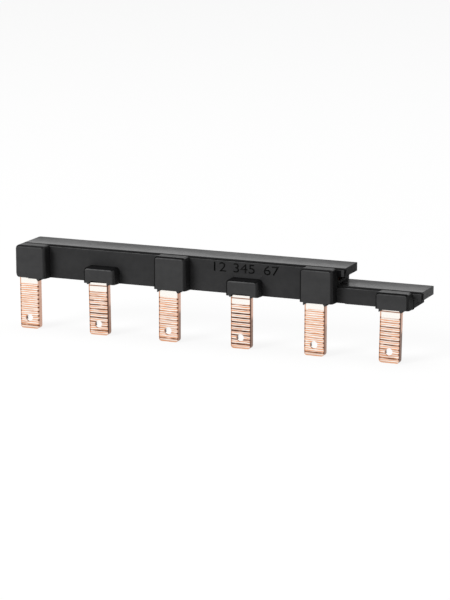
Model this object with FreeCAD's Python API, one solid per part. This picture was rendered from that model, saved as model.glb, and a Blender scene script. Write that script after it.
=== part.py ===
import FreeCAD
import Part
import os

# Comb busbar for three two-pole devices. Work frame while modelling, in millimetres:
# X runs along the rail from the middle of the first boss, Y runs to the back from the
# cover's front face, Z runs up from the rail's underside. The tags hang down.

# Rail
pitch = 17.8
tagCount = 6
levelHeight = 3.95
railDepth = 8.05
flangeThickness = 1.95
upperHang = 1.88
lowerHang = 2.16
backRound = 0.15
endRound = 1.2
leftTrim = 0.22
leftEndWall = 0.9

# Carriers that hold the copper
floorThickness = 0.85
carrierBackWall = 1.05
lipThickness = 0.45
lipSetback = 0.3
lipEndGap = 0.12

# Front cover with its bosses
coverWall = 0.95
coverCorner = 0.8
coverSag = 0.1
bossWidth = 7.85
bossReach = 3.1
bossSideRound = 0.9
bossFaceRound = 0.62
bossTopDrop = 0.1
bossFrontWall = 0.35
bossUnderRise = 0.17
endBottomRound = 0.85
rimWall = 0.15
rimDrop = 0.45
rimSlope = 0.25
notchRimDrop = 0.08
notchWidth = 4.45
notchHeight = 0.68
mouthWidth = 3.9
mouthHeight = 0.05
notchRound = 0.3
mouthShift = 0.19
tongueThickness = 0.6
tongueShortfall = 0.25
tongueRise = 0.35
tongueSag = 0.25

# Copper
copperThickness = 1.8
tagWidth = 4.75
tagOffset = -0.37
tagDrop = 12.05
tagTipRound = 0.75
tagHoleRadius = 0.8
tagHoleUp = 2.65
bendInnerRadius = 0.5
stripSetback = 0.65
stripOverrun = 0.45
stripEdgeRound = 0.3

# Grooves pressed across the front of each tag
grooveCount = 10
groovePitch = 1.0
grooveWidth = 0.36
grooveDepth = 0.14
lowestGrooveUp = 1.0

# Clearances
copperFrontGap = 0.05
copperSideGap = 0.1
copperTopGap = 0.1

# Places that follow from the sizes above
railTop = 2 * levelHeight
railStart = leftTrim - bossWidth / 2
tallTags = [n for n in range(tagCount) if n % 2 == 0]
shortTags = [n for n in range(tagCount) if n % 2 == 1]
upperBodyEnd = tallTags[-1] * pitch + bossWidth / 2
lowerBodyEnd = shortTags[-1] * pitch + bossWidth / 2
upperEnd = upperBodyEnd + upperHang
lowerEnd = lowerBodyEnd + lowerHang
grooveBack = railDepth - carrierBackWall
grooveHeight = copperThickness + copperTopGap
tagFront = -bossReach + bossFrontWall + copperFrontGap
tagBack = tagFront + copperThickness
stripFront = coverWall + stripSetback
frameShift = FreeCAD.Vector(-(railStart + lowerEnd) / 2, -(railDepth - bossReach) / 2, tagDrop)


def block(x0, x1, y0, y1, z0, z1):
    return Part.makeBox(x1 - x0, y1 - y0, z1 - z0, FreeCAD.Vector(x0, y0, z0))


def plate(points, thickness, y0):
    """Flat plate cut to an outline of X and Z points, from y0 towards the back."""
    corners = [FreeCAD.Vector(x, y0, z) for x, z in points]
    outline = Part.makePolygon(corners + corners[:1])
    return Part.Face(outline).extrude(FreeCAD.Vector(0, thickness, 0))


def edgesAlong(shape, direction, test):
    """Straight edges that run along a direction and whose middle passes the test."""
    found = []
    for edge in shape.Edges:
        if edge.Curve.TypeId != "Part::GeomLine":
            continue
        start = edge.Vertexes[0].Point
        end = edge.Vertexes[-1].Point
        if (end - start).cross(direction).Length < 1e-6 and test((start + end) * 0.5):
            found.append(edge)
    return found


alongX = FreeCAD.Vector(1, 0, 0)
alongY = FreeCAD.Vector(0, 1, 0)
alongZ = FreeCAD.Vector(0, 0, 1)


def near(a, b):
    return abs(a - b) < 1e-4


def isTall(n):
    return n in tallTags


def stripBottom(tall):
    return floorThickness + (levelHeight if tall else 0)


# One tag seen from the side: an arm off the strip, a bend, then the long leg down
def bentTag(n, tall):
    low = stripBottom(tall)
    high = low + copperThickness
    bendY = tagBack + bendInnerRadius
    bendZ = low - bendInnerRadius
    outer = bendInnerRadius + copperThickness
    x = n * pitch + tagOffset - tagWidth / 2
    rear = stripFront + stripEdgeRound + copperThickness / 2

    def point(y, z):
        return FreeCAD.Vector(x, y, z)

    def quarter(radius):
        half = radius * 0.5 ** 0.5
        return Part.Arc(point(bendY, bendZ + radius), point(bendY - half, bendZ + half),
                        point(bendY - radius, bendZ)).toShape()

    edges = [
        Part.makeLine(point(rear, high), point(bendY, high)),
        quarter(outer),
        Part.makeLine(point(tagFront, bendZ), point(tagFront, -tagDrop)),
        Part.makeLine(point(tagFront, -tagDrop), point(tagBack, -tagDrop)),
        Part.makeLine(point(tagBack, -tagDrop), point(tagBack, bendZ)),
        quarter(bendInnerRadius),
        Part.makeLine(point(bendY, low), point(rear, low)),
        Part.makeLine(point(rear, low), point(rear, high)),
    ]
    tag = Part.Face(Part.Wire(Part.__sortEdges__(edges))).extrude(FreeCAD.Vector(tagWidth, 0, 0))
    tag = tag.makeFillet(tagTipRound, edgesAlong(tag, alongY, lambda p: near(p.z, -tagDrop)))
    holeStart = FreeCAD.Vector(x + tagWidth / 2, tagFront - 1, -tagDrop + tagHoleUp)
    return tag.cut(Part.makeCylinder(tagHoleRadius, copperThickness + 2, holeStart, alongY))


# V groove pressed across the front of a tag, number k from its tip
def tagGroove(n, k):
    middle = -tagDrop + lowestGrooveUp + k * groovePitch
    x = n * pitch + tagOffset - tagWidth
    corners = [
        FreeCAD.Vector(x, tagFront - grooveDepth, middle - grooveWidth),
        FreeCAD.Vector(x, tagFront - grooveDepth, middle + grooveWidth),
        FreeCAD.Vector(x, tagFront + grooveDepth, middle),
    ]
    outline = Part.makePolygon(corners + corners[:1])
    return Part.Face(outline).extrude(FreeCAD.Vector(2 * tagWidth, 0, 0))


# A comb is one stamped strip with every other tag of the row
def comb(tags, tall):
    low = stripBottom(tall)
    start = railStart + leftEndWall
    end = tags[-1] * pitch + tagOffset + tagWidth / 2 + stripOverrun
    strip = block(start, end, stripFront, grooveBack, low, low + copperThickness)
    strip = strip.makeFillet(stripEdgeRound, edgesAlong(strip, alongZ, lambda p: True))
    shape = strip.fuse([bentTag(n, tall) for n in tags]).removeSplitter()
    return shape.cut([tagGroove(n, k) for n in tags for k in range(grooveCount)])


# What is cut off to round the lower corner of the rail's left end
def endCorner():
    size = endBottomRound
    square = block(railStart - 1, railStart + size, -bossReach - 1, railDepth, -1, size)
    middle = FreeCAD.Vector(railStart + size, -bossReach - 2, size)
    return square.cut(Part.makeCylinder(size, railDepth + bossReach + 4, middle, alongY))


# A carrier is a moulded channel, open to the front, that keeps its strip under a flange
def carrier(top, floorTop, bodyEnd, flangeEnd, lipStart):
    bottom = top - levelHeight
    body = block(railStart, bodyEnd, coverWall, railDepth, bottom, top)
    flange = block(railStart, flangeEnd, coverWall, railDepth, top - flangeThickness, top)
    lip = block(lipStart, flangeEnd, lipSetback, coverWall, top - lipThickness, top)
    shape = body.fuse([flange, lip]).removeSplitter()
    shape = shape.makeFillet(backRound, edgesAlong(shape, alongX, lambda p: near(p.y, railDepth)))
    groove = block(railStart + leftEndWall, bodyEnd + 1, coverWall - 1, grooveBack,
                   floorTop, floorTop + grooveHeight)
    keep = block(railStart + leftEndWall, bodyEnd, coverWall, grooveBack, bottom, top)
    return shape.cut(groove.common(keep))


def upperCarrier():
    shape = carrier(railTop, stripBottom(True), upperBodyEnd, upperEnd, railStart)
    corner = edgesAlong(shape, alongY, lambda p: near(p.x, railStart) and near(p.z, railTop))
    return shape.makeFillet(endRound, corner)


def lowerCarrier():
    lipStart = upperBodyEnd + lipEndGap
    shape = carrier(levelHeight, stripBottom(False), lowerBodyEnd, lowerEnd, lipStart)
    return shape.cut(endCorner())


# Front wall with two steps at its right end, each with a short tongue before the flange
def coverWallPlate():
    lowerTop = levelHeight - lipThickness
    upperTop = railTop - lipThickness
    lowerTongue = levelHeight - flangeThickness
    upperTongue = railTop - flangeThickness
    lowerTip = lowerEnd - tongueShortfall
    upperTip = upperEnd - tongueShortfall
    outline = [
        (railStart, 0),
        (upperEnd, 0),
        (upperEnd, -coverSag),
        (lowerBodyEnd, -coverSag),
        (lowerBodyEnd, lowerTongue + tongueRise),
        (lowerTip, lowerTongue - tongueSag),
        (lowerTip, lowerTop),
        (upperBodyEnd, lowerTop),
        (upperBodyEnd, upperTongue),
        (upperTip, upperTongue),
        (upperTip, upperTop),
        (railStart, upperTop),
    ]
    wall = plate(outline, coverWall, 0)
    wall = wall.makeFillet(coverCorner, edgesAlong(
        wall, alongY, lambda p: near(p.x, railStart) and near(p.z, upperTop)))
    slots = []
    for bodyEnd, tip, low, high in (
        (upperBodyEnd, upperTip, upperTongue, upperTop),
        (lowerBodyEnd, lowerTip, lowerTongue - tongueSag, lowerTop),
    ):
        slots.append(block(bodyEnd, tip + 1, tongueThickness, coverWall + 1, low - 1, high))
    return wall.cut(slots)


# A boss is a block with a rounded face that hides the bend of its tag. Its underside is
# left sharp and rises a little towards the front. The first one is trimmed with the rail
def boss(n):
    right = n * pitch + bossWidth / 2
    left = max(right - bossWidth, railStart)
    top = (railTop if isTall(n) else levelHeight) - bossTopDrop
    shape = block(left, right, -bossReach, 0, 0, top)
    shape = shape.makeFillet(bossSideRound, edgesAlong(shape, alongY, lambda p: near(p.z, top)))
    front = [e for e in shape.Edges if near(e.BoundBox.YMax, -bossReach) and e.BoundBox.ZMax > 0.1]
    shape = shape.makeFillet(bossFaceRound, front)
    corners = [
        FreeCAD.Vector(left, 0, 0),
        FreeCAD.Vector(left, -bossReach, 0),
        FreeCAD.Vector(left, -bossReach, bossUnderRise),
    ]
    under = Part.Face(Part.makePolygon(corners + corners[:1]))
    return shape.cut(under.extrude(FreeCAD.Vector(bossWidth, 0, 0)))


def pocketSpan(n):
    middle = n * pitch + tagOffset
    half = tagWidth / 2 + copperSideGap
    return middle - half, middle + half


def pocket(n):
    left, right = pocketSpan(n)
    high = stripBottom(isTall(n)) + copperThickness + copperTopGap
    return block(left, right, tagFront - copperFrontGap, coverWall + 1, -rimDrop - 1, high)


# The short bosses that stand before the tall wall have a notch where the copper first shows
def isNotched(n):
    return n in shortTags[:-1]


def rimLow(n):
    return -(notchRimDrop if isNotched(n) else rimDrop)


# Thin rim round the mouth of the pocket, narrower at its lower edge. The trimmed boss has
# none at the rail's end
def pocketRim(n):
    left, right = pocketSpan(n)
    start = left - rimWall if n > 0 else (left + right) / 2
    end = right + rimWall
    outline = [
        (start, bossSideRound),
        (start, rimLow(n)),
        (end, rimLow(n)),
        (end + rimSlope, 0),
        (end + rimSlope, bossSideRound),
    ]
    return plate(outline, bossReach, -bossReach)


# The mouth opens the rim's front and leaves a pointed lug on each side of the copper
def mouth(n):
    left, right = pocketSpan(n)
    width, height = (notchWidth, notchHeight) if isNotched(n) else (mouthWidth, mouthHeight)
    low = n * pitch - mouthShift - width / 2
    high = low + width
    outline = [
        (left, -1),
        (left, rimLow(n)),
        (low, 0),
        (low, height),
        (high, height),
        (high, 0),
        (right, rimLow(n)),
        (right, -1),
    ]
    opening = plate(outline, tagFront + bossReach + 1, -bossReach - 1)
    if isNotched(n):
        top = edgesAlong(opening, alongY, lambda p: near(p.z, height))
        opening = opening.makeFillet(notchRound, top)
    return opening


def frontCover():
    tags = range(tagCount)
    shape = coverWallPlate().fuse([boss(n) for n in tags])
    shape = shape.fuse([pocketRim(n) for n in tags]).removeSplitter()
    openings = [pocket(n) for n in tags] + [mouth(n) for n in tags]
    return shape.cut(openings + [endCorner()])


pieces = {
    "front_cover": frontCover(),
    "lower_carrier": lowerCarrier(),
    "upper_carrier": upperCarrier(),
    "lower_comb": comb(shortTags, False),
    "upper_comb": comb(tallTags, True),
}

os.makedirs("parts", exist_ok=True)
for name, shape in pieces.items():
    shape.translate(frameShift)
    print(name, shape.isValid(), len(shape.Solids), round(shape.Volume, 2))
    shape.exportStep("parts/" + name + ".step")
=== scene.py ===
import math
import bmesh
import bpy
import numpy as np
from mathutils import Matrix, Vector


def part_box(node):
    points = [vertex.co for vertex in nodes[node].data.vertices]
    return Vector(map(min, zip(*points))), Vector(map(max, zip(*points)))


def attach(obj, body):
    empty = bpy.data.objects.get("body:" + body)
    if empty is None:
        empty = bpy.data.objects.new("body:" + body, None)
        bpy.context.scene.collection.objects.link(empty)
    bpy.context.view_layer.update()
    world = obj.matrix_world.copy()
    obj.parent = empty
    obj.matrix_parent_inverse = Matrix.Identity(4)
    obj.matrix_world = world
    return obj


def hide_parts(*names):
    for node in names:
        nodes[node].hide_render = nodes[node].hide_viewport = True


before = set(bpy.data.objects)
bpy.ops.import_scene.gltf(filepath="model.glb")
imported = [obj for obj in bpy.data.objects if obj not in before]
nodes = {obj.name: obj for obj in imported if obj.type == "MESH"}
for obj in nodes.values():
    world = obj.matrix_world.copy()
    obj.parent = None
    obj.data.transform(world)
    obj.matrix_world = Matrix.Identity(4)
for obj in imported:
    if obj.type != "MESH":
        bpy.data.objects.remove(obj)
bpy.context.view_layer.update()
print("frame loaded")

mm = 0.001
scene = bpy.context.scene
collection = scene.collection

wallThickness = 0.95 * mm
copperThickness = 1.8 * mm
roundProfile = 0.5  # bevels an edge to a round

# Sizes and places that several pieces share
bar = {
    "pitch": 17.8 * mm,
    "firstBossX": -45.69 * mm,
    "firstTagX": -46.06 * mm,
    "wallFront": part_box("front_cover")[1].y - wallThickness,
    "lipFront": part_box("lower_carrier")[0].y,
    "railLow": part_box("lower_carrier")[0].z,
    "copper": copperThickness,
    "tagMiddle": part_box("lower_comb")[0].y + copperThickness / 2,
    "tagWidth": 4.75 * mm,
    "holeUp": 2.65 * mm,
    "holeRadius": 0.8 * mm,
    "stepX": 30.42 * mm,  # right end of the tall part of the cover's wall
    "plainLipTo": -41.75 * mm,  # the upper lip has no painted shade to the left of this
}


def newPiece(name, mesh):
    piece = bpy.data.objects.new(name, mesh)
    collection.objects.link(piece)
    return piece


def meshFromBm(name, bm):
    mesh = bpy.data.meshes.new(name)
    bm.to_mesh(mesh)
    bm.free()
    return mesh


def boxIn(bm, low, high):
    made = bmesh.ops.create_cube(bm, size=1.0)
    bmesh.ops.scale(bm, vec=high - low, verts=made["verts"])
    bmesh.ops.translate(bm, vec=(low + high) / 2, verts=made["verts"])


# The evaluated object as a plain mesh, with its modifiers used up
def bakedMesh(piece, name):
    graph = bpy.context.evaluated_depsgraph_get()
    mesh = bpy.data.meshes.new_from_object(piece.evaluated_get(graph))
    mesh.name = name
    piece.modifiers.clear()
    return mesh


def smoothByAngle(mesh, degrees):
    mesh.shade_smooth()
    mesh.set_sharp_from_angle(angle=math.radians(degrees))


def declare(piece, node):
    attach(piece, "root")
    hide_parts(node)
    print(piece.name, len(piece.data.polygons))


def addNode(tree, kind, **settings):
    node = tree.nodes.new(kind)
    for key, value in settings.items():
        setattr(node, key, value)
    return node


def link(source, target):
    target.id_data.links.new(source, target)


# Sets a socket to a number or colour, or links another one to it
def feed(socket, value):
    if isinstance(value, (int, float)):
        socket.default_value = value
    elif isinstance(value, tuple):
        socket.default_value = (*value, 1)
    else:
        link(value, socket)


cell = 200  # room that a node takes in the layout of its tree


# Sets a tree's nodes out in columns, each to the right of what feeds it
def arrange(tree):
    columns = {}
    filled = {}

    def columnOf(node):
        if node.name not in columns:
            feeding = [wire.from_node for socket in node.inputs for wire in socket.links]
            columns[node.name] = 1 + max((columnOf(other) for other in feeding), default=-1)
        return columns[node.name]

    for node in tree.nodes:
        column = columnOf(node)
        filled[column] = filled.get(column, 0) + 1
        node.location = (column * cell, -filled[column] * cell)


def newTree(holder):
    holder.use_nodes = True
    tree = holder.node_tree
    tree.nodes.clear()
    return tree


# The tree that the first socket among some values belongs to
def treeOf(values):
    return next(value.id_data for value in values if hasattr(value, "id_data"))


def maths(operation, *values, clamp=False):
    node = addNode(treeOf(values), "ShaderNodeMath", operation=operation, use_clamp=clamp)
    for socket, value in zip(node.inputs, values):
        feed(socket, value)
    return node.outputs[0]


def joinVector(*values):
    node = addNode(treeOf(values), "ShaderNodeCombineXYZ")
    for socket, value in zip(node.inputs, values):
        feed(socket, value)
    return node.outputs[0]


def splitVector(vector):
    node = addNode(vector.id_data, "ShaderNodeSeparateXYZ")
    link(vector, node.inputs[0])
    return node.outputs


def product(first, *others):
    for value in others:
        first = maths("MULTIPLY", first, value, clamp=True)
    return first


def mixColour(factor, first, second):
    node = addNode(factor.id_data, "ShaderNodeMix", data_type="RGBA")
    for index, value in ((0, factor), (6, first), (7, second)):
        feed(node.inputs[index], value)
    return node.outputs[2]


def noiseIn(vector, scale, detail=2.0, roughness=0.5, stretch=None):
    if stretch:
        mapping = addNode(vector.id_data, "ShaderNodeMapping")
        mapping.inputs["Scale"].default_value = stretch
        link(vector, mapping.inputs["Vector"])
        vector = mapping.outputs[0]
    noise = addNode(vector.id_data, "ShaderNodeTexNoise")
    for name, value in (("Vector", vector), ("Scale", scale), ("Detail", detail), ("Roughness", roughness)):
        feed(noise.inputs[name], value)
    return noise.outputs["Fac"]


# Where value goes from low to high, the result goes from outLow to outHigh
def ramp(value, low, high, outLow=0.0, outHigh=1.0):
    node = addNode(value.id_data, "ShaderNodeMapRange")
    link(value, node.inputs["Value"])
    for name, number in (("From Min", low), ("From Max", high), ("To Min", outLow), ("To Max", outHigh)):
        feed(node.inputs[name], number)
    return node.outputs[0]


# A value kept on the mesh, read once in each tree
def stored(tree, name):
    node = tree.nodes.get(name)
    if not node:
        node = addNode(tree, "ShaderNodeAttribute", attribute_name=name)
        node.name = name
    return node.outputs["Fac"]


def addSocket(tree, name, kind="Float", direction="INPUT"):
    return tree.interface.new_socket(name, in_out=direction, socket_type="NodeSocket" + kind)


skinDetail = {
    "grainScale": 6000.0,
    "mottleScale": 700.0,
    "flowScale": 260.0,
    "flowStretch": (0.35, 1.0, 1.6),
    "mottleHeight": 0.6,
    "blotches": (0.75, 1.25),
    "patchyEdge": (0.38, 0.62, 0.35, 1.0),
}


# Fine spark-eroded skin of a moulding: its height, its mottling, and its edges lightened by wear and by
# painted highlights
def mouldedSkin():
    tree = bpy.data.node_groups.new("mouldedSkin", "ShaderNodeTree")
    addSocket(tree, "Grain Scale").default_value = skinDetail["grainScale"]
    addSocket(tree, "Mottle Scale").default_value = skinDetail["mottleScale"]
    for name in ("Height", "Mottle", "Worn Edge"):
        addSocket(tree, name, direction="OUTPUT")
    start = addNode(tree, "NodeGroupInput")
    end = addNode(tree, "NodeGroupOutput")
    place = addNode(tree, "ShaderNodeTexCoord").outputs["Object"]
    grain = noiseIn(place, start.outputs["Grain Scale"], 3.0, 0.6)
    mottle = noiseIn(place, start.outputs["Mottle Scale"], 4.0, 0.55)
    flow = noiseIn(place, skinDetail["flowScale"], stretch=skinDetail["flowStretch"])
    height = maths("MULTIPLY_ADD", mottle, skinDetail["mottleHeight"], grain)
    blotch = maths("ADD", mottle, flow)
    patchy = ramp(mottle, *skinDetail["patchyEdge"])
    # worn edges and painted highlights, broken up by the mottle
    worn = maths("MULTIPLY", stored(tree, "rubbed"), patchy)
    link(height, end.inputs["Height"])
    link(ramp(blotch, *skinDetail["blotches"]), end.inputs["Mottle"])
    link(worn, end.inputs["Worn Edge"])
    arrange(tree)
    return tree


copperDetail = {
    "driftScale": 240.0,
    "drift": 0.7 * mm,  # how far the drawn lines wander up and down
    # name, scale, detail, roughness and stretch of each noise
    "noises": (
        ("Lines", 1700.0, 1.0, 0.5, (0.17, 0.3, 3.2)),
        ("Hairs", 2000.0, 1.0, 0.5, (0.13, 0.3, 3.0)),
        ("Scores", 1050.0, 1.0, 0.5, (0.22, 0.3, 3.0)),
        ("Stain", 420.0, 3.0, 0.6, None),
    ),
}


# Drawn and pressed copper: long fine lines across the tag, broken up along them
def rolledLines():
    tree = bpy.data.node_groups.new("rolledLines", "ShaderNodeTree")
    for noise in copperDetail["noises"]:
        addSocket(tree, noise[0], direction="OUTPUT")
    end = addNode(tree, "NodeGroupOutput")
    place = addNode(tree, "ShaderNodeTexCoord").outputs["Object"]
    wander = noiseIn(place, copperDetail["driftScale"])
    drift = maths("MULTIPLY_ADD", wander, copperDetail["drift"], -copperDetail["drift"] / 2)
    moved = addNode(tree, "ShaderNodeVectorMath", operation="ADD")
    link(place, moved.inputs[0])
    link(joinVector(0, 0, drift), moved.inputs[1])
    for name, scale, detail, roughness, stretch in copperDetail["noises"]:
        noise = noiseIn(moved.outputs[0], scale, detail, roughness, stretch)
        link(noise, end.inputs[name])
    arrange(tree)
    return tree


mouldedSkinTree = mouldedSkin()
rolledLinesTree = rolledLines()


def newFinish(name):
    material = bpy.data.materials.new(name)
    tree = newTree(material)
    out = addNode(tree, "ShaderNodeOutputMaterial")
    shader = addNode(tree, "ShaderNodeBsdfPrincipled")
    link(shader.outputs[0], out.inputs[0])
    return material, tree, shader


def bumpFrom(tree, shader, height, strength, distance):
    bump = addNode(tree, "ShaderNodeBump")
    bump.inputs["Strength"].default_value = strength
    bump.inputs["Distance"].default_value = distance
    link(height, bump.inputs["Height"])
    link(bump.outputs[0], shader.inputs["Normal"])


blackPlastic = {
    "dark": (0.019, 0.019, 0.0195),
    "pale": (0.024, 0.024, 0.0245),
    # pale grey for worn edges and for painted highlights on rims and edges
    "rubbed": (0.16, 0.16, 0.162),
    "bossDark": (0.0275, 0.0275, 0.028),
    "bossPale": (0.0335, 0.0335, 0.034),
    "bossFrom": (-4.65 * mm, -5.15 * mm),  # the boss fronts are coloured paler than the wall
    # near black, for painted shade
    "shaded": (0.003, 0.003, 0.0032),
    # near black, for painted shade in the engraved numbers
    "sunk": (0.002, 0.002, 0.002),
    "specular": 0.12,
    "roughness": (0.4, 0.5),
    "shadedRougher": 0.5,
    "polished": 0.24,  # roughness along the front of the tops, where hands polish them
    "polishFrom": (5.2 * mm, -2.0 * mm),
    "polishCurve": 1.4,
    "bump": 0.35,
}


def plasticColour(tree, skin, place, bosses):
    mottle = skin.outputs["Mottle"]
    colour = mixColour(mottle, blackPlastic["dark"], blackPlastic["pale"])
    if bosses:
        front = ramp(place["Y"], *blackPlastic["bossFrom"])
        face = mixColour(mottle, blackPlastic["bossDark"], blackPlastic["bossPale"])
        colour = mixColour(front, colour, face)
    # lighter on worn edges and where a rim carries a painted highlight
    colour = mixColour(skin.outputs["Worn Edge"], colour, blackPlastic["rubbed"])
    # painted shade where a face is marked as shaded
    colour = mixColour(stored(tree, "shaded"), colour, blackPlastic["shaded"])
    # painted shade in the engraved numbers
    return mixColour(stored(tree, "engraved"), colour, blackPlastic["sunk"])


def plasticRoughness(tree, skin, place):
    low, high = blackPlastic["roughness"]
    rough = ramp(skin.outputs["Mottle"], 0, 1, low, high)
    nearer = ramp(place["Y"], *blackPlastic["polishFrom"])
    nearer = maths("POWER", nearer, blackPlastic["polishCurve"])
    polish = maths("MULTIPLY", stored(tree, "upward"), nearer)
    polish = maths("MULTIPLY", polish, blackPlastic["polished"] - high)
    rougher = maths("MULTIPLY", stored(tree, "shaded"), blackPlastic["shadedRougher"])
    rough = maths("ADD", rough, polish)
    return maths("ADD", rough, rougher, clamp=True)


def plasticFinish(name, grainScale, grainDepth, bosses):
    material, tree, shader = newFinish(name)
    skin = addNode(tree, "ShaderNodeGroup", node_tree=mouldedSkinTree)
    skin.inputs["Grain Scale"].default_value = grainScale
    place = splitVector(addNode(tree, "ShaderNodeTexCoord").outputs["Object"])
    link(plasticColour(tree, skin, place, bosses), shader.inputs["Base Color"])
    link(plasticRoughness(tree, skin, place), shader.inputs["Roughness"])
    shader.inputs["Specular IOR Level"].default_value = blackPlastic["specular"]
    bumpFrom(tree, shader, skin.outputs["Height"], blackPlastic["bump"], grainDepth)
    arrange(tree)
    return material


coverFinish = plasticFinish("coverPlastic", grainScale=5200.0, grainDepth=0.02 * mm, bosses=True)
carrierFinish = plasticFinish("carrierPlastic", grainScale=6500.0, grainDepth=0.015 * mm, bosses=False)

halfTag = bar["tagWidth"] / 2
bareCopper = {
    "bright": (1.0, 0.86, 0.72),
    # near white, for painted highlights
    "white": (1.0, 0.965, 0.91),
    "peach": (0.95, 0.52, 0.3),
    "rim": (0.66, 0.32, 0.17),
    "orange": (0.93, 0.4, 0.18),
    # dark orange-brown for tarnish and for painted shade in the grooves
    "tarnishAndShade": (0.52, 0.22, 0.11),
    "brown": (0.075, 0.034, 0.022),
    "side": (0.62, 0.37, 0.27),
    "sideLow": (0.13, 0.06, 0.033),
    # near white, a painted reflection on the hole's wall
    "bore": (1.0, 0.98, 0.96),
    "ribPitch": 0.5 * mm,
    "ribStain": 4.0,  # how far the stains bend the ribs, in radians
    "ribLines": 2.5,
    "scoreDark": 0.42,
    "lowerLeft": 0.5,  # weight of height against width round the hole
    "boreGloss": 0.25,
    "bump": 0.5,
    "bumpDepth": 0.02 * mm,
}

# Each mark's start and full place, and its strength at both where that isn't 0 and 1
copperRanges = {
    "front": (0.3 * mm, 0.1 * mm),
    "streak": (0.45, 0.55),
    "thinHair": (0.46, 0.4, 0, 0.38),
    "whiteHair": (0.53, 0.57),
    "orangeRib": (0.1, 0.7, 0, 0.95),
    "whiteRib": (0.0, -0.5),
    "leftRim": (0.36 * mm - halfTag, 0.22 * mm - halfTag),
    "rightRim": (halfTag - 0.22 * mm, halfTag - 0.08 * mm, 0, 0.6),
    "tipRim": (0.55 * mm, 0.4 * mm, 0, 0.6),
    "rimStain": (0.25, 0.5, 0.55, 1.0),
    "sideDarkRange": (7.6 * mm, 6.6 * mm),
    "edge": (halfTag - 0.1 * mm, halfTag - 0.02 * mm),
    "edgeDepth": (0.8 * mm, 0.5 * mm),
    "corner": (halfTag - 0.45 * mm, halfTag - 0.12 * mm),
    "cornerDepth": (0.55 * mm, 0.3 * mm),
    "score": (0.44, 0.36),
    "scoreLow": (5.2 * mm, 3.2 * mm, 0.3, 1.0),
    "ring": (0.3 * mm, 0.08 * mm, 0, 0.8),
    "ringSide": (0.1 * mm, 0.75 * mm),
    "ringStain": (0.3, 0.62, 0.6, 1.0),
    "tarnishAndShade": (0, 0.6),
    "brown": (0.35, 1.0),
    "boreLeft": (-0.66 * mm, -0.72 * mm, 0, 0.95),
    "boreDepth": (0.75 * mm, 0.6 * mm),
    "roughness": (0.3, 0.7, 0.42, 0.24),
}


def within(name, value):
    return ramp(value, *copperRanges[name])


# Streaks and hairs of the drawn strip with painted glints on the hairs, wavy fine ribs painted as painted
# highlights and darker orange bands, painted highlights on the grooves' lower lips and a near-white painted
# highlight over the smooth top
def copperGrain(tree, lines, front):
    streak = within("streak", lines.outputs["Lines"])
    base = mixColour(streak, bareCopper["peach"], bareCopper["bright"])
    # painted glints along the fine hairs
    hair = within("whiteHair", lines.outputs["Hairs"])
    base = mixColour(hair, base, bareCopper["white"])
    bent = maths("MULTIPLY", lines.outputs["Lines"], bareCopper["ribLines"])
    bent = maths("MULTIPLY_ADD", lines.outputs["Stain"], bareCopper["ribStain"], bent)
    turn = 2 * math.pi / bareCopper["ribPitch"]
    bent = maths("MULTIPLY_ADD", stored(tree, "up"), turn, bent)
    rib = maths("COSINE", bent)
    # the ribs have no relief: painted highlights and darker orange bands
    for mark, colour in (("orangeRib", "orange"), ("whiteRib", "white")):
        share = product(within(mark, rib), front)
        base = mixColour(share, base, bareCopper[colour])
    thin = within("thinHair", lines.outputs["Hairs"])
    base = mixColour(thin, base, bareCopper["tarnishAndShade"])
    # painted highlight on each groove's lower lip
    base = mixColour(stored(tree, "litLip"), base, bareCopper["white"])
    # painted highlight: the smooth top is coloured near white
    return mixColour(stored(tree, "smoothZone"), base, bareCopper["white"])


# Rolled-over rim round the front: down the left, along the tip and a little on the right
def copperRim(tree, lines, front):
    left = within("leftRim", stored(tree, "across"))
    right = within("rightRim", stored(tree, "across"))
    tip = within("tipRim", stored(tree, "up"))
    rim = maths("MAXIMUM", left, maths("MAXIMUM", right, tip))
    return product(rim, front, within("rimStain", lines.outputs["Stain"]))


# Painted shade along the front edge of the cut side, and at the ends of the grooves in it
def copperEdge(tree):
    line = product(within("edge", stored(tree, "across")),
                   within("edgeDepth", stored(tree, "inward")), stored(tree, "edgeDark"))
    corner = maths("ABSOLUTE", stored(tree, "across"))
    notch = product(stored(tree, "notch"), within("corner", corner),
                    within("cornerDepth", stored(tree, "inward")))
    return maths("MAXIMUM", line, notch)


# Scores across the lower part of a tarnished tag
def copperScores(tree, lines, front):
    low = within("scoreLow", stored(tree, "up"))
    score = within("score", lines.outputs["Scores"])
    rough = maths("SUBTRACT", 1.0, stored(tree, "smoothZone"))
    return product(score, low, stored(tree, "tarnish"), front, rough, bareCopper["scoreDark"])


# Dark ring round the lower left of the hole
def copperRing(tree, lines, front):
    below = maths("SUBTRACT", bar["holeUp"], stored(tree, "up"))
    below = maths("MULTIPLY", below, bareCopper["lowerLeft"])
    lowerLeft = maths("MULTIPLY_ADD", stored(tree, "across"), -1.0, below)
    return product(within("ring", stored(tree, "fromHole")),
                   within("ringSide", lowerLeft), front,
                   within("ringStain", lines.outputs["Stain"]))


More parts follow.
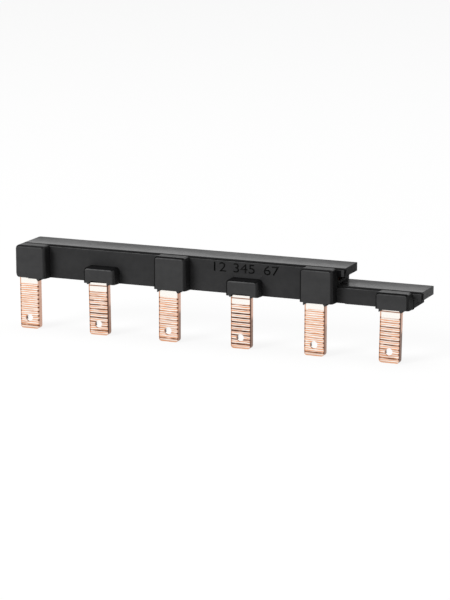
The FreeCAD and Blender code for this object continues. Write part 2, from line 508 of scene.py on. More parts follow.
def copperColour(tree, lines):
    front = within("front", stored(tree, "inward"))
    base = copperGrain(tree, lines, front)
    base = mixColour(copperRim(tree, lines, front), base, bareCopper["rim"])
    # the cut side is coloured darker than the front, and darker still towards the bottom
    low = product(within("sideDarkRange", stored(tree, "up")), stored(tree, "sideDull"))
    side = mixColour(low, bareCopper["side"], bareCopper["sideLow"])
    base = mixColour(stored(tree, "cutSide"), base, side)
    # painted shade with tarnish in the grooves, painted shade along the side's front edge, with the fine
    # line, scores and ring, all darkened together
    dark = product(stored(tree, "groove"), front)
    fine = product(stored(tree, "fineLine"), front)
    for more in (copperEdge(tree), fine, copperScores(tree, lines, front), copperRing(tree, lines, front)):
        dark = maths("MAXIMUM", dark, more)
    base = mixColour(within("tarnishAndShade", dark), base, bareCopper["tarnishAndShade"])
    base = mixColour(within("brown", dark), base, bareCopper["brown"])
    # the hole's wall: a near-white painted reflection, with painted shade down its left near the front
    boreLeft = product(within("boreLeft", stored(tree, "across")),
                       within("boreDepth", stored(tree, "inward")))
    bore = mixColour(boreLeft, bareCopper["bore"], bareCopper["brown"])
    return mixColour(stored(tree, "boreWall"), base, bore)


def copperFinish():
    material, tree, shader = newFinish("bareCopper")
    lines = addNode(tree, "ShaderNodeGroup", node_tree=rolledLinesTree)
    link(copperColour(tree, lines), shader.inputs["Base Color"])
    dull = within("roughness", lines.outputs["Lines"])
    shiny = ramp(stored(tree, "boreWall"), 0, 1, 1.0, bareCopper["boreGloss"])
    link(maths("MULTIPLY", dull, shiny), shader.inputs["Roughness"])
    shader.inputs["Metallic"].default_value = 1.0
    height = maths("ADD", lines.outputs["Lines"], lines.outputs["Hairs"])
    bumpFrom(tree, shader, height, bareCopper["bump"], bareCopper["bumpDepth"])
    arrange(tree)
    return material


copperMaterial = copperFinish()
print("finishes made")

moulding = {
    "edgeRound": 0.12 * mm,
    "edgeSteps": 2,
    "smallestEdge": 0.6 * mm,
    "sharpFrom": 38,
    "flatWithin": 0.6,  # degrees between faces that are joined into one
    "smoothBelow": 32,
    # how much lighter the rounded edges are: wear and painted highlight
    "wornAndLitEdge": 0.12,
    "coverFrom": 12.2 * mm,  # the cover's lower edges stay sharp
    # planes that trim the lower corner of the left end: a point in mm and the way out, both in x and z
    "cornerCuts": (((-48.82, 12.4), (-0.5, -0.866)), ((-49.1, 12.75), (-0.866, -0.5))),
    # cuts that give the marks a clean border
    "splitsX": {"front_cover": (bar["stepX"],), "upper_carrier": (bar["plainLipTo"],), "lower_carrier": ()},
    "endFrom": 47.0 * mm,  # the cover's right end lies beyond this
    "endSplitY": -2.4 * mm,
    "weld": 0.001 * mm,
    # corners in mm of the wall that closes the lower channel at its right end
    "channelEnd": ((46.635, -1.525, 12.9), (47.225, 4.525, 14.8)),
}

# How much of a face's normal lies along an axis where the face looks squarely or slightly that way
squarely = 0.9
slightly = 0.1


def allOf(bm):
    return bm.verts[:] + bm.edges[:] + bm.faces[:]


# Trims the lower corner of the left end
def cutCorners(bm):
    for (x, z), (outX, outZ) in moulding["cornerCuts"]:
        cut = bmesh.ops.bisect_plane(bm, geom=allOf(bm), clear_outer=True,
                                     plane_co=(x * mm, 0, z * mm), plane_no=(outX, 0, outZ))
        rim = [item for item in cut["geom_cut"] if isinstance(item, bmesh.types.BMEdge)]
        bmesh.ops.holes_fill(bm, edges=rim)


def sharpEdges(bm, lowest):
    sharp = math.radians(moulding["sharpFrom"])
    edges = []
    for edge in bm.edges:
        if len(edge.link_faces) != 2 or not edge.is_convex:
            continue
        low = min(vertex.co.z for vertex in edge.verts)
        if edge.calc_face_angle() > sharp and edge.calc_length() > moulding["smallestEdge"] and low > lowest:
            edges.append(edge)
    return edges


# Parts the side of the last boss from the end of the wall
def partWallEnd(bm):
    atEnd = [face for face in bm.faces
             if face.normal.x > squarely and face.calc_center_median().x > moulding["endFrom"]]
    geom = {item for face in atEnd for item in (face, *face.edges, *face.verts)}
    bmesh.ops.bisect_plane(bm, geom=list(geom), plane_co=(0, moulding["endSplitY"], 0), plane_no=(0, 1, 0))


# The CAD moulding with its sharp outer edges rounded as the mould leaves them
def roundedMoulding(node, name):
    bm = bmesh.new()
    bm.from_mesh(nodes[node].data)
    bmesh.ops.remove_doubles(bm, verts=bm.verts, dist=moulding["weld"])
    flat = math.radians(moulding["flatWithin"])
    bmesh.ops.dissolve_limit(bm, angle_limit=flat, verts=bm.verts, edges=bm.edges)
    if node != "upper_carrier":
        cutCorners(bm)
    edges = sharpEdges(bm, moulding["coverFrom"] if node == "front_cover" else 0.0)
    # the rounded edges are marked lighter: wear and painted highlight
    rubbed = bm.faces.layers.float.new("rubbed")
    made = bmesh.ops.bevel(bm, geom=edges, offset=moulding["edgeRound"], offset_type="OFFSET",
                           segments=moulding["edgeSteps"], profile=roundProfile, affect="EDGES",
                           clamp_overlap=False)
    for face in made["faces"]:
        face[rubbed] = moulding["wornAndLitEdge"]
    for x in moulding["splitsX"][node]:
        bmesh.ops.bisect_plane(bm, geom=allOf(bm), plane_co=(x, 0, 0), plane_no=(1, 0, 0))
    if node == "front_cover":
        partWallEnd(bm)
    if node == "lower_carrier":
        low, high = (Vector(corner) * mm for corner in moulding["channelEnd"])
        boxIn(bm, low, high)
    mesh = meshFromBm(name, bm)
    smoothByAngle(mesh, moulding["smoothBelow"])
    return newPiece(name, mesh)


numbers = {
    # number, left and right in mm
    "groups": (("12", -0.29, 2.71), ("345", 4.51, 9.71), ("67", 11.91, 15.61)),
    "bottom": 16.98 * mm,
    "height": 2.12 * mm,
    "depth": 0.14 * mm,
    "weld": 0.0001 * mm,
    # faces this far behind the wall's front, above this height, are in the numbers
    "sunk": (0.02 * mm, 0.15 * mm),
    "sunkFrom": 16.88 * mm,
}


# Plain counting numbers, as a solid that cuts them into the front wall
def numberStamp():
    bm = bmesh.new()
    for text, left, right in numbers["groups"]:
        curve = bpy.data.curves.new("number", "FONT")
        curve.body = text
        curve.extrude = 0.5  # any depth serves, as it is scaled below
        letters = newPiece("number", curve)
        bpy.context.view_layer.update()
        mesh = bakedMesh(letters, "number")
        points = np.array([vertex.co for vertex in mesh.vertices])
        low, high = points.min(axis=0), points.max(axis=0)
        size = ((right - left) * mm, numbers["height"], 2 * numbers["depth"])
        start = (left * mm, numbers["bottom"], -numbers["depth"])
        scaled = (points - low) / (high - low) * size + start
        mesh.vertices.foreach_set("co", scaled.astype("f").ravel())
        bm.from_mesh(mesh)
        bpy.data.objects.remove(letters)
    bmesh.ops.remove_doubles(bm, verts=bm.verts, dist=numbers["weld"])
    turn = Matrix.Translation((0, bar["wallFront"], 0)) @ Matrix.Rotation(math.radians(90), 4, "X")
    bmesh.ops.transform(bm, verts=bm.verts, matrix=turn)
    bmesh.ops.recalc_face_normals(bm, faces=bm.faces)
    return newPiece("numberStamp", meshFromBm("numberStamp", bm))


# Joins the face beside an open hairline seam to the edges on its other side
def closeSeam(mesh):
    bm = bmesh.new()
    bm.from_mesh(mesh)
    seam = [edge for edge in bm.edges if edge.is_boundary]
    if seam:
        longest = max(seam, key=lambda edge: edge.calc_length())
        bmesh.ops.holes_fill(bm, edges=seam)
        bmesh.ops.dissolve_edges(bm, edges=[longest], use_verts=False)
        bm.to_mesh(mesh)
    bm.free()


# Marks the floors of the engraved numbers for their painted shade
def markSunk(mesh):
    sunk = mesh.attributes.new("engraved", "FLOAT", "FACE").data
    left, right = numbers["groups"][0][1] * mm, numbers["groups"][-1][2] * mm
    near, far = numbers["sunk"]
    for face in mesh.polygons:
        behind = near < face.center.y - bar["wallFront"] < far
        if behind and face.center.z > numbers["sunkFrom"] and left < face.center.x < right:
            sunk[face.index].value = 1.0


def engrave(piece):
    stamp = numberStamp()
    cut = piece.modifiers.new("engraving", "BOOLEAN")
    cut.operation = "DIFFERENCE"
    cut.solver = "EXACT"
    cut.object = stamp
    bpy.context.view_layer.update()
    piece.data = bakedMesh(piece, piece.name)
    closeSeam(piece.data)
    bpy.data.objects.remove(stamp)
    markSunk(piece.data)
    smoothByAngle(piece.data, moulding["smoothBelow"])

marks = {
    # for each boss, the strength of its painted marks: painted highlight on the light rim, painted shade on
    # the dark band, top face, left rounding, right rounding and right side
    "bosses": (
        (0.10, 0.75, 0.0, 0.35, 0.35, 0.85),
        (0.36, 1.0, 1.0, 1.0, 0.35, 0.85),
        (0.24, 1.0, 0.0, 1.0, 0.55, 0.85),
        (0.26, 1.0, 1.0, 1.0, 0.45, 0.85),
        (0.15, 0.85, 0.0, 1.0, 0.5, 1.0),
        (0.12, 1.0, 0.0, 0.8, 0.65, 0.72),
    ),
    # degrees that a boss's face has turned from the front: flat front, soft left, rim, side and top
    "frontTo": 5,
    "softLeftTo": 20,
    "rimTo": 31,
    "sideFrom": 80,
    "topFrom": 88,
    "softLeft": 0.3,
    "lastTopPolish": 0.35,
    "upFrom": 0.15,  # least rise of a face that counts as a boss's top
    "reach": 0.13 * mm,  # how far a front's own faces reach behind or before it
    # painted shade on the front of the carriers' lip, painted highlight along the wall's top front edge,
    # painted shade on the wall's end
    "lip": 0.5,
    "wallEdge": 0.3,
    "wallEnd": 1.0,
    # short tongue at the top of the step: painted shade on its left part, painted highlight on its right part
    "tongueX": (29.4 * mm, 31.3 * mm),
    "tongueFrom": 17.5 * mm,
    "tongueRim": 0.12,
    # painted shade on the ends of the carriers at the right: below this height in mm, how dark
    "ends": ((14.75, 0.6), (16.0, 0.1), (99.0, 0.5)),
}


# Painted shade on the front of a carrier's lip and on its right ends; tops are marked for polish
def carrierMarks(n, c):
    found = {"upward": 1.0 if n.z > squarely else 0.0}
    if n.y < -slightly and c.y < bar["lipFront"] + marks["reach"]:
        found["shaded"] = marks["lip"] if c.x > bar["plainLipTo"] else 0.0
    elif n.x > squarely:
        found["shaded"] = next(dark for top, dark in marks["ends"] if c.z < top * mm)
    return found


# Painted highlight on the rim and painted shade on the rounding along a boss's top, painted shade on its
# roundings and side at its left and right
def bossMarks(n, c):
    number = round((c.x - bar["firstBossX"]) / bar["pitch"])
    rim, band, top, left, right, side = marks["bosses"][number]
    turned = math.degrees(math.acos(max(-1.0, min(1.0, -n.y))))
    found = {"rubbed": 0.0}
    if turned <= marks["frontTo"]:
        return found
    if n.z > marks["upFrom"] and n.z > abs(n.x):
        if turned <= marks["rimTo"]:
            found["rubbed"] = rim
        elif turned < marks["topFrom"]:
            found["shaded"] = band
        else:
            found["shaded"] = top
            found["upward"] = marks["lastTopPolish"] if number == len(marks["bosses"]) - 1 else 0.0
    elif n.x < -slightly:
        found["shaded"] = left * (marks["softLeft"] if turned < marks["softLeftTo"] else 1.0)
    elif n.x > slightly:
        found["shaded"] = right if turned < marks["sideFrom"] else side
    return found


# Painted shade and painted highlight on the tongue, painted highlight on the wall's top front edge, painted
# shade on its end
def wallMarks(n, c):
    left, right = marks["tongueX"]
    if n.y < -squarely and left < c.x < right and c.z > marks["tongueFrom"]:
        return {"shaded": 1.0} if c.x < bar["stepX"] else {"rubbed": marks["tongueRim"]}
    if n.z > slightly and n.y < -slightly and c.y < bar["wallFront"] + marks["reach"]:
        return {"rubbed": marks["wallEdge"]}
    if n.x > squarely:
        return {"shaded": marks["wallEnd"]}
    return {}


# How light or dark each face of a moulding is painted: painted highlights on rims, painted shade on roundings
# and in recesses
def markFaces(mesh, onCover):
    for name in ("shaded", "upward"):
        mesh.attributes.new(name, "FLOAT", "FACE")
    kept = {name: mesh.attributes[name].data for name in ("rubbed", "shaded", "upward")}
    for face in mesh.polygons:
        n, c = face.normal, face.center
        if not onCover:
            found = carrierMarks(n, c)
        elif c.y < bar["wallFront"] - marks["reach"]:
            found = bossMarks(n, c)
        else:
            found = wallMarks(n, c)
        for name, value in found.items():
            kept[name][face.index].value = value


# Keeps the broad faces flat beside the small roundings
def flatFaces(piece):
    weigh = piece.modifiers.new("flatFaces", "WEIGHTED_NORMAL")
    weigh.keep_sharp = True
    weigh.weight = 100
    bpy.context.view_layer.update()
    piece.data = bakedMesh(piece, piece.name)


for node, name, finish, slot in (
    ("front_cover", "coverMoulding", coverFinish, "cover"),
    ("upper_carrier", "upperRail", carrierFinish, "carrier"),
    ("lower_carrier", "lowerRail", carrierFinish, "carrier"),
):
    piece = roundedMoulding(node, name)
    markFaces(piece.data, node == "front_cover")
    if node == "front_cover":
        engrave(piece)
    flatFaces(piece)
    piece.data.materials.clear()
    piece.data.materials.append(finish)
    declare(piece, node)

tagShape = {
    "edgeRound": 0.1 * mm,
    "roundShare": 0.8,  # most of the half width or half thickness that the edge's round takes
    "tipRound": 0.75 * mm,
    "tipEdge": 0.2 * mm,
    "tipGap": 0.03 * mm,  # keeps a leaning tag's corner above the tip plane
    "bendInner": 0.5 * mm,
    "bendSteps": 8,
    "armEnd": 0.4 * mm,
    "columns": 34,
    "sideColumns": 6,
    "tipRows": (0, 0.008, 0.025, 0.05, 0.085, 0.13, 0.19),  # heights in mm
    "rowStep": 0.09 * mm,
    "fineTop": 12.8 * mm,
    "plainStep": 0.8 * mm,
    "plainGap": 1.2 * mm,  # least room between the last row and the bend
    "punchSides": 40,
    "punchLength": 6 * mm,
    "boreWithin": 0.004 * mm,  # a face this close to the hole's radius is its wall
    "sideFrom": 0.7,
    "smoothBelow": 35,
}


# Round of radius r at the end of a straight edge: how far in the surface sits at height h
def roundedIn(h, r):
    return r - math.sqrt(max(r * r - (r - min(h, r)) ** 2, 0.0))


# Heights of the rows of a tag, close together where grooves are pressed
def tagRows(bendZ):
    rows = [tagShape["tipGap"] + height * mm for height in tagShape["tipRows"]]
    while rows[-1] + tagShape["rowStep"] < tagShape["fineTop"]:
        rows.append(rows[-1] + tagShape["rowStep"])
    while rows[-1] < bendZ - tagShape["plainGap"]:
        rows.append(rows[-1] + tagShape["plainStep"])
    return rows


# Points of a tag's side view from tip to arm: middle, outward direction, half width, half thickness
def tagStations(stripLow):
    half = bar["copper"] / 2
    bendZ = stripLow - tagShape["bendInner"]
    radius = tagShape["bendInner"] + half
    bendY = bar["tagMiddle"] + radius
    stations = []
    for z in tagRows(bendZ):
        up = z - tagShape["tipGap"]
        width = halfTag - roundedIn(up, tagShape["tipRound"])
        stations.append((bar["tagMiddle"], z, -1.0, 0.0, width, half - roundedIn(up, tagShape["tipEdge"])))
    for step in range(tagShape["bendSteps"] + 1):
        turn = math.radians(180 - step * 90 / tagShape["bendSteps"])
        out = (math.cos(turn), math.sin(turn))
        stations.append((bendY + radius * out[0], bendZ + radius * out[1], *out, halfTag, half))
    stations.append((tagShape["armEnd"], bendZ + radius, 0.0, 1.0, halfTag, half))
    return stations


# Outline of a tag's cross-section, counted round from the front
def tagSection(width, half):
    r = min(tagShape["edgeRound"], tagShape["roundShare"] * min(half, width))
    count, layerCount = tagShape["columns"], tagShape["sideColumns"]
    quarter = [math.radians(turn) for turn in (0, 30, 60, 90)]
    flat = [(2 * k / count - 1) * (width - r) for k in range(1, count)]
    layers = [(1 - 2 * k / layerCount) * (half - r) for k in range(1, layerCount)]
    corner = [(width - r + r * math.sin(turn), half - r + r * math.cos(turn)) for turn in quarter]
    front = [(-x, d) for x, d in reversed(corner)] + [(x, half) for x in flat] + corner
    right = [(width, d) for d in layers] + [(x, -d) for x, d in reversed(corner)]
    back = [(-x, -half) for x in flat] + [(-x, -d) for x, d in corner]
    return front + right + back + [(-width, -d) for d in layers]


def tagBlank(stripLow):
    bm = bmesh.new()
    rings = []
    for y, z, outY, outZ, width, half in tagStations(stripLow):
        ring = []
        for x, d in tagSection(width, half):
            place = (x, y + outY * d - bar["tagMiddle"], z + outZ * d - bar["railLow"])
            ring.append(bm.verts.new(place))
        rings.append(ring)
    for low, high in zip(rings, rings[1:]):
        for k in range(len(low)):
            bm.faces.new((low[k - 1], low[k], high[k], high[k - 1]))
    bm.faces.new(rings[0])
    bm.faces.new(rings[-1])
    bmesh.ops.recalc_face_normals(bm, faces=bm.faces)
    return newPiece("tagBlank", meshFromBm("tagBlank", bm))


pressing = {
    "Groove Pitch": 1.0 * mm,
    "Lowest Groove": 1.12 * mm,
    "Groove Count": 10,
    "Groove Width": 0.36 * mm,
    "Groove Depth": 0.13 * mm,
    "Wobble": 0.1 * mm,
    "Hole Radius": bar["holeRadius"],
    "Hole Up": bar["holeUp"],
}

grooveWear = {
    # noises: scale along the groove, scale from groove to groove or upwards, detail
    "wander": (420.0, 5.3, 3.0),
    "broken": (520.0, 9.1, 2.0),
    "rough": (300.0, 5200.0, 2.0),
    "topEdge": (500.0, 0.7, 2.0),
    "slope": -0.012,
    "brokenShare": 2.6,
    "brokenFrom": 0.8,
    "tipStrength": 0.85,
    "roughShare": 0.18,
    "topWave": 0.25 * mm,
    "skin": (0.5 * mm, 0.12 * mm),  # grooves are pressed only into the front
    # strength of a groove, from the lowest (0) to the tenth (0.9)
    "strength": ((0.0, 0.9), (0.1, 0.5), (0.2, 0.6), (0.3, 1.0), (0.4, 0.95), (0.5, 0.8), (0.6, 0.8),
                 (0.7, 0.85), (0.8, 0.4), (0.9, 0.3), (1.0, 0.0)),
}

# Marks beside a groove's middle: how far up they lie and how far they reach
grooveMarks = {
    # painted shade with tarnish on the groove's upper slope
    "dark": (0.06 * mm, 0.21 * mm),
    "tipWider": 0.1 * mm,
    "darkShare": 2.2,
    "tipShare": -1.0,
    # painted highlight on the groove's lower slope
    "lit": (-0.16 * mm, 0.14 * mm),
    "litShare": (0.7, 0.3),
    # painted shade where the groove ends at the side's front edge
    "notch": (0.1 * mm, 0.3 * mm),
    "notchShare": 1.4,
    "fineLine": 0.17 * mm,
}


def storeValue(geometry, name, value, domain="POINT"):
    store = addNode(geometry.id_data, "GeometryNodeStoreNamedAttribute", data_type="FLOAT", domain=domain)
    store.inputs["Name"].default_value = name
    link(geometry, store.inputs["Geometry"])
    link(value, store.inputs["Value"])
    return store.outputs[0]


def readValue(tree, name):
    node = addNode(tree, "GeometryNodeInputNamedAttribute", data_type="FLOAT")
    node.inputs["Name"].default_value = name
    return node.outputs[0]


# Noise around 0 that changes along one value and from step to step of another
def wearNoise(name, along, across):
    alongScale, acrossScale, detail = grooveWear[name]
    spot = joinVector(maths("MULTIPLY", along, alongScale), maths("MULTIPLY", across, acrossScale))
    return maths("SUBTRACT", noiseIn(spot, 1.0, detail), 0.5)


# How near a distance is to a mark's middle: 1 there, 0 where it ends
def nearness(distance, middle, reach):
    gap = maths("ABSOLUTE", maths("SUBTRACT", distance, middle))
    share = maths("DIVIDE", gap, reach)
    return maths("SUBTRACT", 1.0, share, clamp=True)


def tagSockets(tree):
    kinds = {"Geometry": "Geometry", "Tag": "Object", "Strip": "Object", "Finish": "Material"}
    for name, kind in kinds.items():
        addSocket(tree, name, kind)
    for name, value in pressing.items():
        addSocket(tree, name, "Int" if isinstance(value, int) else "Float").default_value = value
    addSocket(tree, "Fine Line")
    addSocket(tree, "Tip Groove")
    addSocket(tree, "Geometry", "Geometry", "OUTPUT")
    return addNode(tree, "NodeGroupInput").outputs


def punchedTag(tree, given):
    tag = addNode(tree, "GeometryNodeObjectInfo")
    link(given["Tag"], tag.inputs["Object"])
    punch = addNode(tree, "GeometryNodeMeshCylinder")
    punch.inputs["Vertices"].default_value = tagShape["punchSides"]
    punch.inputs["Depth"].default_value = tagShape["punchLength"]
    link(given["Hole Radius"], punch.inputs["Radius"])
    up = maths("SUBTRACT", given["Hole Up"], bar["railLow"])
    laid = addNode(tree, "GeometryNodeTransform")
    laid.inputs["Rotation"].default_value = (math.radians(90), 0, 0)
    link(punch.outputs["Mesh"], laid.inputs["Geometry"])
    link(joinVector(0, 0, up), laid.inputs["Translation"])
    cut = addNode(tree, "GeometryNodeMeshBoolean", operation="DIFFERENCE", solver="EXACT")
    link(tag.outputs["Geometry"], cut.inputs[0])
    link(laid.outputs[0], cut.inputs[1])
    return cut.outputs[0]


# Keeps the tag's own coordinates on it, before it is set in its place
def measuredTag(tree, given, shape):
    x, y, z = splitVector(addNode(tree, "GeometryNodeInputPosition").outputs[0])
    normal = splitVector(addNode(tree, "GeometryNodeInputNormal").outputs[0])
    up = maths("ADD", z, bar["railLow"])
    rise = maths("SUBTRACT", up, given["Hole Up"])
    squares = maths("MULTIPLY_ADD", rise, rise, maths("MULTIPLY", x, x))
    reach = maths("SUBTRACT", maths("SQRT", squares), given["Hole Radius"])
    wall = maths("LESS_THAN", reach, tagShape["boreWithin"])
    side = maths("GREATER_THAN", maths("ABSOLUTE", normal[0]), tagShape["sideFrom"])
    side = maths("MULTIPLY", side, maths("SUBTRACT", 1.0, wall))
    inward = maths("ADD", y, bar["copper"] / 2)
    shape = storeValue(shape, "boreWall", wall, "FACE")
    shape = storeValue(shape, "cutSide", side, "FACE")
    for name, value in (("up", up), ("across", x), ("inward", inward), ("fromHole", reach)):
        shape = storeValue(shape, name, value)
    return shape


# One tag at each point, leaning as that point says
def spreadTags(tree, given, shape):
    spread = addNode(tree, "GeometryNodeInstanceOnPoints")
    link(given["Geometry"], spread.inputs["Points"])
    link(shape, spread.inputs["Instance"])
    link(joinVector(0, readValue(tree, "lean")), spread.inputs["Rotation"])
    real = addNode(tree, "GeometryNodeRealizeInstances")
    link(spread.outputs[0], real.inputs[0])
    return real.outputs[0]


# Nearest groove's number, whether it is the one at the tip, and how far above its wandering middle a point is
def nearestGroove(tree, given, up, along):
    steps = maths("SUBTRACT", up, given["Lowest Groove"])
    number = maths("ROUND", maths("DIVIDE", steps, given["Groove Pitch"]))
    last = maths("SUBTRACT", given["Groove Count"], 1)
    number = maths("MAXIMUM", maths("MINIMUM", number, last), 0)
    atTip = maths("LESS_THAN", number, 0.5)
    moved = maths("SUBTRACT", given["Tip Groove"], given["Lowest Groove"])
    wander = wearNoise("wander", along, number)
    centre = maths("MULTIPLY_ADD", number, given["Groove Pitch"], given["Lowest Groove"])
    centre = maths("MULTIPLY_ADD", atTip, moved, centre)
    centre = maths("MULTIPLY_ADD", wander, given["Wobble"], centre)
    across = readValue(tree, "across")
    centre = maths("MULTIPLY_ADD", across, grooveWear["slope"], centre)
    return number, atTip, maths("SUBTRACT", up, centre)


# How deep a groove is at a point: broken along it, and worn away on a tag that is little tarnished
def grooveStrength(tree, number, atTip, along):
    broken = wearNoise("broken", along, number)
    share, least = grooveWear["brokenShare"], grooveWear["brokenFrom"]
    deep = maths("MULTIPLY_ADD", broken, share, least, clamp=True)
    level = addNode(tree, "ShaderNodeFloatCurve")
    place = maths("DIVIDE", number, pressing["Groove Count"])
    link(place, level.inputs["Value"])
    points = level.mapping.curves[0].points
    strength = grooveWear["strength"]
    points[0].location, points[1].location = strength[0], strength[-1]
    for spot in strength[1:-1]:
        points.new(*spot)
    level.mapping.update()
    worn = maths("MULTIPLY", level.outputs[0], readValue(tree, "tarnish"))
    lowest = maths("MULTIPLY", atTip, grooveWear["tipStrength"])
    return maths("MULTIPLY", deep, maths("MAXIMUM", worn, lowest))


def pressedShape(tree, given, shape, off, deep, up, along, bare):
    reach = maths("MULTIPLY", given["Groove Width"], 0.5)
    vee = maths("MULTIPLY", nearness(off, 0.0, reach), deep)
    skin = ramp(readValue(tree, "inward"), *grooveWear["skin"])
    rough = maths("MULTIPLY", wearNoise("rough", along, up), skin)
    press = maths("MULTIPLY", vee, skin)
    press = maths("MULTIPLY_ADD", rough, grooveWear["roughShare"], press)
    step = maths("MULTIPLY", press, given["Groove Depth"])
    step = maths("MULTIPLY", step, maths("SUBTRACT", 1.0, bare))
    pressed = addNode(tree, "GeometryNodeSetPosition")
    link(shape, pressed.inputs["Geometry"])
    link(joinVector(0, step), pressed.inputs["Offset"])
    return pressed.outputs[0]


# Painted shade with tarnish on the upper lip, painted highlight on the lower lip and painted shade at the end
# notch of each groove, and the fine line in the smooth top
def markedShape(given, shape, off, deep, atTip, up, bare):
    middle, reach = grooveMarks["dark"]
    wide = maths("MULTIPLY_ADD", atTip, grooveMarks["tipWider"], reach)
    share = maths("MULTIPLY_ADD", atTip, grooveMarks["tipShare"], grooveMarks["darkShare"])
    share = maths("MULTIPLY", deep, share)
    dark = maths("MULTIPLY", nearness(off, middle, wide), share, clamp=True)
    share = maths("MULTIPLY_ADD", deep, *grooveMarks["litShare"])
    lit = maths("MULTIPLY", nearness(off, *grooveMarks["lit"]), share)
    notch = nearness(off, *grooveMarks["notch"])
    notch = maths("MULTIPLY", notch, grooveMarks["notchShare"], clamp=True)
    fine = nearness(up, given["Fine Line"], grooveMarks["fineLine"])
    kept = (("groove", dark), ("litLip", lit), ("notch", notch), ("smoothZone", bare), ("fineLine", fine))
    for name, value in kept:
        shape = storeValue(shape, name, value)
    return shape


# The flat strip is joined in before the finish is set
def joinStrip(tree, given, shape):
    strip = addNode(tree, "GeometryNodeObjectInfo")
    link(given["Strip"], strip.inputs["Object"])
    both = addNode(tree, "GeometryNodeJoinGeometry")
    link(strip.outputs["Geometry"], both.inputs[0])
    link(shape, both.inputs[0])
    last = addNode(tree, "GeometryNodeRealizeInstances")
    link(both.outputs[0], last.inputs[0])
    finish = addNode(tree, "GeometryNodeSetMaterial")
    link(last.outputs[0], finish.inputs["Geometry"])
    link(given["Finish"], finish.inputs["Material"])
    end = addNode(tree, "NodeGroupOutput")
    link(finish.outputs[0], end.inputs[0])


# Tree that punches the hole in a tag, sets one at each point, leans it and presses its grooves
def pressedTags():
    tree = bpy.data.node_groups.new("pressedTags", "GeometryNodeTree")
    given = tagSockets(tree)
    shape = spreadTags(tree, given, measuredTag(tree, given, punchedTag(tree, given)))
    up = readValue(tree, "up")
    along = splitVector(addNode(tree, "GeometryNodeInputPosition").outputs[0])[0]
    number, atTip, off = nearestGroove(tree, given, up, along)
    deep = grooveStrength(tree, number, atTip, along)
    wave = wearNoise("topEdge", along, number)
    wavyUp = maths("MULTIPLY_ADD", wave, grooveWear["topWave"], up)
    bare = maths("GREATER_THAN", wavyUp, readValue(tree, "bareFrom"))
    shape = pressedShape(tree, given, shape, off, deep, up, along, bare)
    shape = markedShape(given, shape, off, deep, atTip, up, bare)
    joinStrip(tree, given, shape)
    arrange(tree)
    return tree


stripShape = {
    "depth": 5.4 * mm,
    "edgeRound": 0.25 * mm,
    "edgeSteps": 3,
}


# Flat strip that a row of tags is stamped from, at the top of its comb
def stripBar(node):
    low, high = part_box(node)
    bm = bmesh.new()
    boxIn(bm, Vector((low.x, high.y - stripShape["depth"], high.z - bar["copper"])), high)
    bmesh.ops.bevel(bm, geom=bm.edges, offset=stripShape["edgeRound"], affect="EDGES",
                    segments=stripShape["edgeSteps"], profile=roundProfile)
    return newPiece("stripBar", meshFromBm("stripBar", bm))


combs = {
    "lower_comb": {
        "name": "lowerCopper",
        "Fine Line": 11.72 * mm,
        "Tip Groove": 1.08 * mm,
        # number, lean in degrees, tarnish, start of the smooth top in mm, side darkening towards the bottom,
        # painted shade along the side's front edge
        "tags": (
            (1, 0.86, 0.85, 10.35, 0.62, 1.0),
            (3, 0.1, 1.35, 10.3, 0.85, 1.0),
            (5, -1.0, 0.62, 10.1, 1.0, 1.0),
        ),
    },
    "upper_comb": {
        "name": "upperCopper",
        "Fine Line": 20 * mm,
        "Tip Groove": 0.82 * mm,
        "tags": (
            (0, 0.35, 0.12, 10.8, 0.06, 0.0),
            (2, -0.2, 0.33, 10.62, 0.75, 0.4),
            (4, -0.15, 0.22, 10.72, 0.55, 0.85),
        ),
    },
}


# Points that the tags are set at, with what differs from tag to tag
def tagPoints(name, tags):
    number, lean, tarnish, bareFrom, sideDull, edgeDark = zip(*tags)
    places = [(bar["firstTagX"] + n * bar["pitch"], bar["tagMiddle"], bar["railLow"]) for n in number]
    mesh = bpy.data.meshes.new(name)
    mesh.from_pydata(places, [], [])
    for key, values in (
        ("lean", [-math.radians(turn) for turn in lean]),
        ("tarnish", tarnish),
        ("bareFrom", [height * mm for height in bareFrom]),
        ("sideDull", sideDull),
        ("edgeDark", edgeDark),
    ):
        mesh.attributes.new(key, "FLOAT", "POINT").data.foreach_set("value", values)
    return newPiece(name, mesh)


def copperComb(node, tagTree):
    comb = combs[node]
    row = tagPoints(comb["name"], comb["tags"])
    strip = stripBar(node)
    tag = tagBlank(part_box(node)[1].z - bar["copper"])
    values = {"Tag": tag, "Strip": strip, "Finish": copperMaterial, **comb, **pressing}
    made = row.modifiers.new("pressedTags", "NODES")
    made.node_group = tagTree
    for item in tagTree.interface.items_tree:
        if item.in_out == "INPUT" and item.name in values:
            made[item.identifier] = values[item.name]
    bpy.context.view_layer.update()
    row.data = bakedMesh(row, comb["name"])
    bpy.data.objects.remove(tag)
    bpy.data.objects.remove(strip)
    smoothByAngle(row.data, tagShape["smoothBelow"])
    declare(row, node)


pressedTagsTree = pressedTags()
for node in combs:
    copperComb(node, pressedTagsTree)

stage = {
    "floorSize": 3.0,
    "floorSides": 96,
    "floorGap": 0.02 * mm,
    "floorColour": (0.82, 0.82, 0.82),
    "shadowShare": 0.1,
    "ambient": 0.25,
}


# 1 where the camera sees something itself or in a mirror, 0 where it only gives light
def seenDirectly(tree):
    path = addNode(tree, "ShaderNodeLightPath")
    seen = maths("ADD", path.outputs["Is Camera Ray"], path.outputs["Is Glossy Ray"])
    return maths("ADD", seen, path.outputs["Is Transmission Ray"], clamp=True)


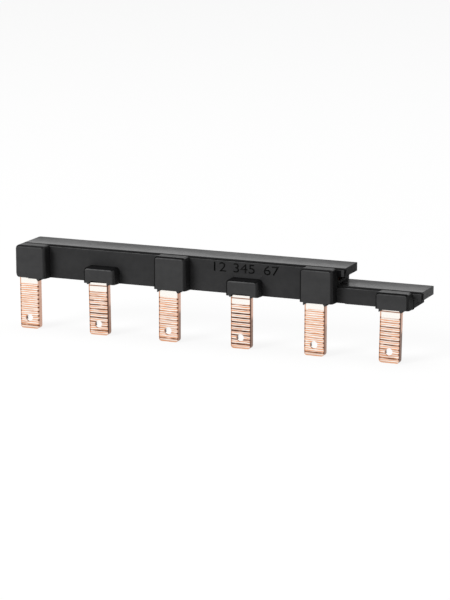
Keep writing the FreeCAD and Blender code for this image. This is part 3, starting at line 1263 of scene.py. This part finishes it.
# White to the eye, with only a little of the shadow that falls on it
def floorFinish():
    material = bpy.data.materials.new("paleFloor")
    tree = newTree(material)
    out = addNode(tree, "ShaderNodeOutputMaterial")
    soft = addNode(tree, "ShaderNodeBsdfDiffuse")
    soft.inputs["Color"].default_value = (*stage["floorColour"], 1)
    white = addNode(tree, "ShaderNodeEmission")
    share = maths("MULTIPLY", seenDirectly(tree), 1 - stage["shadowShare"], clamp=True)
    mix = addNode(tree, "ShaderNodeMixShader")
    link(share, mix.inputs[0])
    link(soft.outputs[0], mix.inputs[1])
    link(white.outputs[0], mix.inputs[2])
    link(mix.outputs[0], out.inputs[0])
    arrange(tree)
    return material


def paleFloor():
    bm = bmesh.new()
    bmesh.ops.create_circle(bm, cap_ends=True, segments=stage["floorSides"], radius=stage["floorSize"],
                            matrix=Matrix.Translation((0, 0, -stage["floorGap"])))
    floor = newPiece("paleFloor", meshFromBm("paleFloor", bm))
    floor.data.materials.append(floorFinish())


# White room that is seen in full and lights the bar only a little
def whiteRoom():
    scene.world = bpy.data.worlds.new("whiteRoom")
    tree = newTree(scene.world)
    out = addNode(tree, "ShaderNodeOutputWorld")
    sky = addNode(tree, "ShaderNodeBackground")
    sky.inputs["Color"].default_value = (1, 1, 1, 1)
    strength = ramp(seenDirectly(tree), 0, 1, stage["ambient"], 1.0)
    link(strength, sky.inputs["Strength"])
    link(sky.outputs[0], out.inputs[0])
    arrange(tree)


lamps = [
    # name, place, aim, size, watts
    ("frontLeftBox", (-0.45, -0.75, 0.55), (0, 0, 0.01), 0.5, 11.0),
    ("topBox", (0.0, 0.2, 0.8), (0, 0, 0.01), 0.6, 4.0),
]


def addLamp(name, place, aim, size, watts):
    light = bpy.data.lights.new(name, "AREA")
    light.shape = "DISK"
    light.size = size
    light.energy = watts
    lamp = newPiece(name, light)
    lamp.location = place
    lamp.visible_glossy = False  # the white room alone shows in the copper and on the plastic
    lamp.rotation_euler = (Vector(aim) - Vector(place)).to_track_quat("-Z", "Y").to_euler()


view = {
    "aim": (1.61 * mm, -0.475 * mm, 9.92 * mm),
    "back": (0.37593, -0.90134, 0.21508),
    "distance": 549.4 * mm,
    "lens": 144.48,
    "sensor": 36.0,
    "nearest": 0.01,
}


def photoCamera():
    data = bpy.data.cameras.new("photoCamera")
    data.lens = view["lens"]
    data.sensor_width = view["sensor"]
    data.clip_start = view["nearest"]
    camera = newPiece("photoCamera", data)
    back = Vector(view["back"]).normalized()
    camera.location = Vector(view["aim"]) + back * view["distance"]
    camera.rotation_euler = back.to_track_quat("Z", "Y").to_euler()
    scene.camera = camera


paleFloor()
whiteRoom()
for lamp in lamps:
    addLamp(*lamp)
photoCamera()
scene.view_settings.view_transform = "Standard"
print("stage set")
